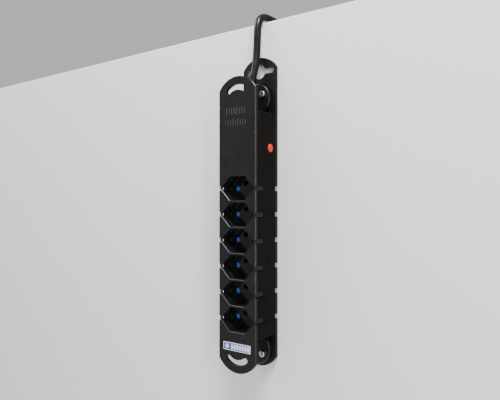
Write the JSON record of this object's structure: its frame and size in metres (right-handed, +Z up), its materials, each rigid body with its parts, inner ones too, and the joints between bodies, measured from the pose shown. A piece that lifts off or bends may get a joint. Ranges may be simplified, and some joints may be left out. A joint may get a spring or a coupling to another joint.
{
  "type": "power strip",
  "caption": "Wall-mounted mains power strip with a row of hexagonal sockets, arched front cover, magnetic back plate, reset button and mains lead.",
  "frame": {"origin": "centre of the back plate's rear face, which lies on the wall", "axes": "+X across the strip to the right as seen from the front, +Y into the wall, +Z up along the strip"},
  "size_m": [0.0642, 0.2473, 0.3617],
  "materials": {
    "satin_black": "satin moulded polycarbonate with a fine grain",
    "gloss_black": "glossy moulded plastic",
    "socket_black": "polished moulded plastic",
    "shutter_blue": "bright blue acetal",
    "button_red": "red moulded plastic",
    "brass": "stamped brass",
    "spring_steel": "drawn spring wire",
    "zinc_steel": "bright zinc-plated steel",
    "ferrite": "sintered ferrite",
    "breaker_grey": "matt moulded plastic",
    "label_white": "printed film, no lettering",
    "cord_black": "smooth flexible PVC",
    "tie_fabric": "woven hook-and-loop strap",
    "plug_black": "satin moulded plastic",
    "nickel_pins": "nickel-plated brass",
    "wire_brown": "PVC insulation",
    "wire_blue": "PVC insulation",
    "wire_green": "green and yellow PVC insulation"
  },
  "bodies": {
    "housing": {"front_cover": "satin_black", "front_housing": "gloss_black", "rear_shell": "gloss_black", "back_plate": "satin_black", "live_contacts": "brass", "neutral_contacts": "brass", "earth_contacts": "brass", "live_busbar": "brass", "neutral_busbar": "brass", "earth_busbar": "brass", "breaker_body": "breaker_grey", "breaker_terminals": "brass", "reset_spring": "spring_steel", "magnet_pot_top": "zinc_steel", "magnet_pot_bottom": "zinc_steel", "magnet_core_top": "ferrite", "magnet_core_bottom": "ferrite", "magnet_screws": "zinc_steel", "housing_screws": "zinc_steel", "maker_label": "label_white", "strain_relief": "cord_black", "cord_inner": "cord_black", "cord_clamp": "breaker_grey", "clamp_base": "breaker_grey", "clamp_screws": "zinc_steel", "live_wire": "wire_brown", "neutral_wire": "wire_blue", "earth_wire": "wire_green", "switched_wire": "wire_brown", "cord_lead": "cord_black", "cord_hank": "cord_black", "cord_tail": "cord_black", "cord_tie": "tie_fabric", "plug_body": "plug_black", "plug_boot": "cord_black", "plug_pins": "nickel_pins", "socket_insert_1": "socket_black", "shutter_spring_1": "spring_steel", "socket_insert_2": "socket_black", "shutter_spring_2": "spring_steel", "socket_insert_3": "socket_black", "shutter_spring_3": "spring_steel", "socket_insert_4": "socket_black", "shutter_spring_4": "spring_steel", "socket_insert_5": "socket_black", "shutter_spring_5": "spring_steel", "socket_insert_6": "socket_black", "shutter_spring_6": "spring_steel"},
    "shutter_1": {"shutter_1": "shutter_blue"},
    "shutter_2": {"shutter_2": "shutter_blue"},
    "shutter_3": {"shutter_3": "shutter_blue"},
    "shutter_4": {"shutter_4": "shutter_blue"},
    "shutter_5": {"shutter_5": "shutter_blue"},
    "shutter_6": {"shutter_6": "shutter_blue"},
    "reset_button": {"reset_button": "button_red"}
  },
  "joints": [
    {"name": "shutter_1_slide", "type": "slide", "parent": "housing", "child": "shutter_1", "axis": [0, 0, -1], "range_m": [0, 0.0056], "stiffness_N_per_m": 40, "springref_m": -0.002, "deforming": ["shutter_spring_1"]},
    {"name": "shutter_2_slide", "type": "slide", "parent": "housing", "child": "shutter_2", "axis": [0, 0, -1], "range_m": [0, 0.0056], "stiffness_N_per_m": 40, "springref_m": -0.002, "deforming": ["shutter_spring_2"]},
    {"name": "shutter_3_slide", "type": "slide", "parent": "housing", "child": "shutter_3", "axis": [0, 0, -1], "range_m": [0, 0.0056], "stiffness_N_per_m": 40, "springref_m": -0.002, "deforming": ["shutter_spring_3"]},
    {"name": "shutter_4_slide", "type": "slide", "parent": "housing", "child": "shutter_4", "axis": [0, 0, -1], "range_m": [0, 0.0056], "stiffness_N_per_m": 40, "springref_m": -0.002, "deforming": ["shutter_spring_4"]},
    {"name": "shutter_5_slide", "type": "slide", "parent": "housing", "child": "shutter_5", "axis": [0, 0, -1], "range_m": [0, 0.0056], "stiffness_N_per_m": 40, "springref_m": -0.002, "deforming": ["shutter_spring_5"]},
    {"name": "shutter_6_slide", "type": "slide", "parent": "housing", "child": "shutter_6", "axis": [0, 0, -1], "range_m": [0, 0.0056], "stiffness_N_per_m": 40, "springref_m": -0.002, "deforming": ["shutter_spring_6"]},
    {"name": "reset_button_slide", "type": "slide", "parent": "housing", "child": "reset_button", "axis": [-1, 0, 0], "range_m": [0, 0.0015], "stiffness_N_per_m": 600, "springref_m": -0.001, "deforming": ["reset_spring"]}
  ]
}
